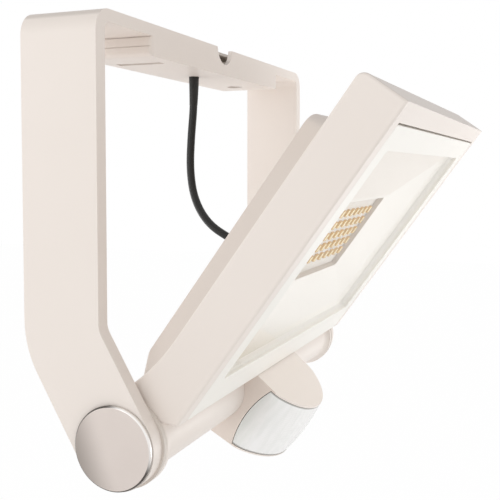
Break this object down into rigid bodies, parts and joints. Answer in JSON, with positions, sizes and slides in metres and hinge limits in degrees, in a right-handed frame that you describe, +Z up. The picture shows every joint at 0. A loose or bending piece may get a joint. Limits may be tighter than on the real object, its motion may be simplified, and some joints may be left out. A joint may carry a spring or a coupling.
{
  "type": "motion sensor floodlight",
  "caption": "Flat rectangular lamp head that tilts on a tube between the arms of a wide yoke bracket, with a motion sensor turning on the same tube.",
  "frame": {"origin": "centre of the mounting face on top of the bracket's crossbar", "axes": "+Z up, out of the mounting face; X along the tilt axis; the light is thrown towards -Y"},
  "size_m": [0.3454, 0.2066, 0.2833],
  "materials": {
    "body_paint": "cream-white powder coat, fine satin texture",
    "strip_coat": "sheet steel with the same cream powder coat",
    "screw_steel": "stainless steel",
    "terminal_white": "moulded terminal block",
    "brass": "plated brass screws",
    "black_rubber": "soft moulded rubber",
    "lead_black": "smooth black sheath",
    "brushed_cap": "circular brushed face with a bright turned rim",
    "spacer_plastic": "plain friction disc",
    "bezel_white": "smooth white moulding",
    "clear_glass": "clear tempered pane",
    "seal_grey": "soft foam seal",
    "reflector_white": "white reflector moulding",
    "board_white": "white coated aluminium circuit board",
    "phosphor": "yellow phosphor in white frames",
    "driver_case": "potted driver case",
    "sensor_shell": "smooth white moulding",
    "lens_milk": "translucent milky lens with fine grooves",
    "board_green": "solder-masked circuit board",
    "can_steel": "metal can with a dark window",
    "dial_grey": "small moulded dials"
  },
  "bodies": {
    "bracket": {"bracket": "body_paint", "mounting_strip": "strip_coat", "clamp_screw": "screw_steel", "terminal_block": "terminal_white", "terminal_screws": "brass", "strain_relief_top": "black_rubber", "lead": "lead_black", "end_cap_left": "brushed_cap", "end_cap_right": "brushed_cap", "spacer_left": "spacer_plastic", "spacer_right": "spacer_plastic"},
    "head": {"pivot_bolt_left": "screw_steel", "pivot_bolt_right": "screw_steel", "pivot_washer_left": "screw_steel", "pivot_washer_right": "screw_steel", "pivot_tube": "body_paint", "head_housing": "body_paint", "front_bezel": "bezel_white", "glass": "clear_glass", "glass_seal": "seal_grey", "reflector": "reflector_white", "led_board": "board_white", "led_chips": "phosphor", "board_screws": "screw_steel", "driver": "driver_case", "driver_cover": "body_paint", "cover_seal": "seal_grey", "cover_screws": "screw_steel", "strain_relief_head": "black_rubber"},
    "sensor": {"sensor_housing": "sensor_shell", "sensor_back": "sensor_shell", "sensor_lens": "lens_milk", "sensor_board": "board_green", "pir_element": "can_steel"},
    "time_dial": {"time_dial": "dial_grey"},
    "lux_dial": {"lux_dial": "dial_grey"}
  },
  "joints": [
    {"name": "head_tilt", "type": "hinge", "parent": "bracket", "child": "head", "pos_m": [0, -0.0325, -0.2317], "axis": [1, 0, 0], "range_deg": [-32, 14], "deforming": ["lead"]},
    {"name": "sensor_tilt", "type": "hinge", "parent": "head", "child": "sensor", "pos_m": [0, -0.0325, -0.2317], "axis": [1, 0, 0], "range_deg": [0, 60]},
    {"name": "time_dial_turn", "type": "hinge", "parent": "sensor", "child": "time_dial", "pos_m": [-0.011, -0.02951, -0.26165], "axis": [0, 0.4879, -0.8729], "range_deg": [-135, 135]},
    {"name": "lux_dial_turn", "type": "hinge", "parent": "sensor", "child": "lux_dial", "pos_m": [0.011, -0.02951, -0.26165], "axis": [0, 0.4879, -0.8729], "range_deg": [-135, 135]}
  ]
}
